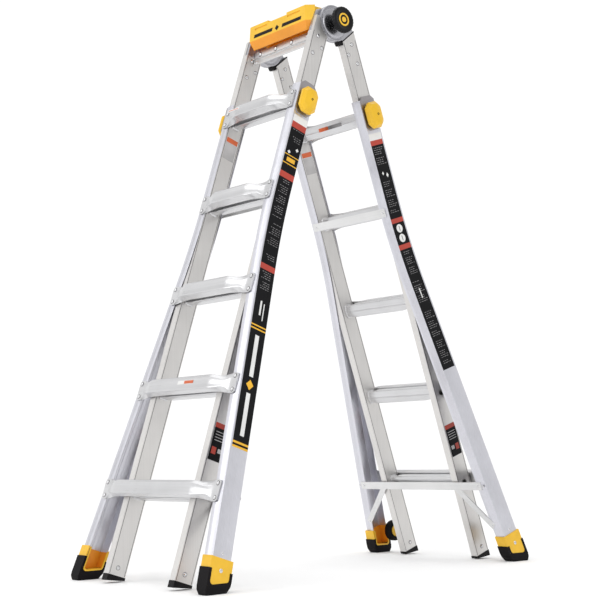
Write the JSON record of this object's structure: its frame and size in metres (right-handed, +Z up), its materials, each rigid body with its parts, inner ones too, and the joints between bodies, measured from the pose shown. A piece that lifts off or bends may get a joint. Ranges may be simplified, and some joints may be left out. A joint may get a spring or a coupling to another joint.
{
  "type": "multi position ladder",
  "caption": "Telescoping hinged multi position ladder standing as a step ladder, with flared outer rails, lock knobs, a top cap and transport wheels",
  "frame": {"origin": "on the floor, under the middle of the bounding box of the open step ladder", "axes": "+Z up; +X towards the right-hand rails; the front section, with the top cap, is on the -Y side and is climbed from -Y"},
  "size_m": [0.6572, 1.2998, 1.7429],
  "materials": {
    "outer_rail": "satin extruded aluminium, faint lengthwise die lines",
    "inner_rail": "mill-finish extruded aluminium, lengthwise die lines",
    "rung": "mill-finish aluminium tube with a ribbed tread and crushed ends",
    "brace": "plain aluminium strip, riveted",
    "hinge_casting": "polished die-cast aluminium",
    "lock_plate": "zinc-grey pressed steel",
    "yellow_plastic": "moulded yellow plastic, fine texture",
    "foot_rubber": "matt black moulded rubber",
    "black_plastic": "black moulded plastic",
    "knob_plastic": "black moulded plastic with a yellow centre",
    "wheel_rubber": "black tyre on a yellow hub"
  },
  "bodies": {
    "front_outer": {"front_outer_rail_right": "outer_rail", "front_outer_rail_left": "outer_rail", "front_foot_boot_right": "yellow_plastic", "front_foot_boot_left": "yellow_plastic", "front_foot_pad_right": "foot_rubber", "front_foot_pad_left": "foot_rubber", "front_lock_plate_right": "lock_plate", "front_lock_plate_left": "lock_plate", "front_outer_tread_1": "rung", "front_outer_tread_2": "rung", "front_outer_tread_3": "rung", "front_outer_tread_4": "rung", "front_outer_tread_5": "rung", "front_brace_frame": "brace"},
    "front_inner": {"front_inner_rail_right": "inner_rail", "front_inner_rail_left": "inner_rail", "front_inner_end_cap_right": "black_plastic", "front_inner_end_cap_left": "black_plastic", "front_hinge_casting_right": "hinge_casting", "front_hinge_casting_left": "hinge_casting", "front_inner_rung_1": "rung", "front_inner_rung_2": "rung", "front_inner_rung_3": "rung", "front_inner_rung_4": "rung", "front_inner_rung_5": "rung", "front_top_bar": "brace", "top_cap": "yellow_plastic"},
    "back_inner": {"back_inner_rail_right": "inner_rail", "back_inner_rail_left": "inner_rail", "back_inner_end_cap_right": "black_plastic", "back_inner_end_cap_left": "black_plastic", "back_hinge_casting_right": "hinge_casting", "back_hinge_casting_left": "hinge_casting", "back_inner_rung_1": "rung", "back_inner_rung_2": "rung", "back_inner_rung_3": "rung", "back_inner_rung_4": "rung", "back_inner_rung_5": "rung"},
    "back_outer": {"back_outer_rail_right": "outer_rail", "back_outer_rail_left": "outer_rail", "back_foot_boot_right": "yellow_plastic", "back_foot_boot_left": "yellow_plastic", "back_foot_pad_right": "foot_rubber", "back_foot_pad_left": "foot_rubber", "back_lock_plate_right": "lock_plate", "back_lock_plate_left": "lock_plate", "back_outer_tread_1": "rung", "back_outer_tread_2": "rung", "back_outer_tread_3": "rung", "back_outer_tread_4": "rung", "back_outer_tread_5": "rung", "back_brace_frame": "brace"},
    "front_lock_right": {"front_lock_knob_right": "yellow_plastic"},
    "front_lock_left": {"front_lock_knob_left": "yellow_plastic"},
    "back_lock_right": {"back_lock_knob_right": "yellow_plastic"},
    "back_lock_left": {"back_lock_knob_left": "yellow_plastic"},
    "hinge_lock_right": {"hinge_knob_right": "knob_plastic"},
    "hinge_lock_left": {"hinge_knob_left": "knob_plastic"},
    "wheel_right": {"back_wheel_right": "wheel_rubber"},
    "wheel_left": {"back_wheel_left": "wheel_rubber"}
  },
  "joints": [
    {"name": "front_telescope", "type": "slide", "parent": "front_outer", "child": "front_inner", "axis": [0, 0.3156, 0.9489], "range_m": [0, 1.2192]},
    {"name": "hinge", "type": "hinge", "parent": "front_inner", "child": "back_inner", "pos_m": [0, -0.00963, 1.685], "axis": [1, 0, 0], "range_deg": [-36.8, 143.2]},
    {"name": "back_telescope", "type": "slide", "parent": "back_inner", "child": "back_outer", "axis": [0, 0.3156, -0.9489], "range_m": [0, 1.2192]},
    {"name": "front_lock_right_pull", "type": "slide", "parent": "front_outer", "child": "front_lock_right", "axis": [1, 0, 0], "range_m": [0, 0.02], "stiffness_N_per_m": 900},
    {"name": "front_lock_left_pull", "type": "slide", "parent": "front_outer", "child": "front_lock_left", "axis": [-1, 0, 0], "range_m": [0, 0.02], "stiffness_N_per_m": 900},
    {"name": "back_lock_right_pull", "type": "slide", "parent": "back_outer", "child": "back_lock_right", "axis": [1, 0, 0], "range_m": [0, 0.02], "stiffness_N_per_m": 900},
    {"name": "back_lock_left_pull", "type": "slide", "parent": "back_outer", "child": "back_lock_left", "axis": [-1, 0, 0], "range_m": [0, 0.02], "stiffness_N_per_m": 900},
    {"name": "hinge_lock_right_push", "type": "slide", "parent": "front_inner", "child": "hinge_lock_right", "axis": [-1, 0, 0], "range_m": [0, 0.009], "stiffness_N_per_m": 1500},
    {"name": "hinge_lock_left_push", "type": "slide", "parent": "front_inner", "child": "hinge_lock_left", "axis": [1, 0, 0], "range_m": [0, 0.009], "stiffness_N_per_m": 1500},
    {"name": "wheel_right_roll", "type": "hinge", "parent": "back_outer", "child": "wheel_right", "pos_m": [0.256, 0.61394, 0.0766], "axis": [1, 0, 0], "continuous": true},
    {"name": "wheel_left_roll", "type": "hinge", "parent": "back_outer", "child": "wheel_left", "pos_m": [-0.256, 0.61394, 0.0766], "axis": [1, 0, 0], "continuous": true}
  ]
}
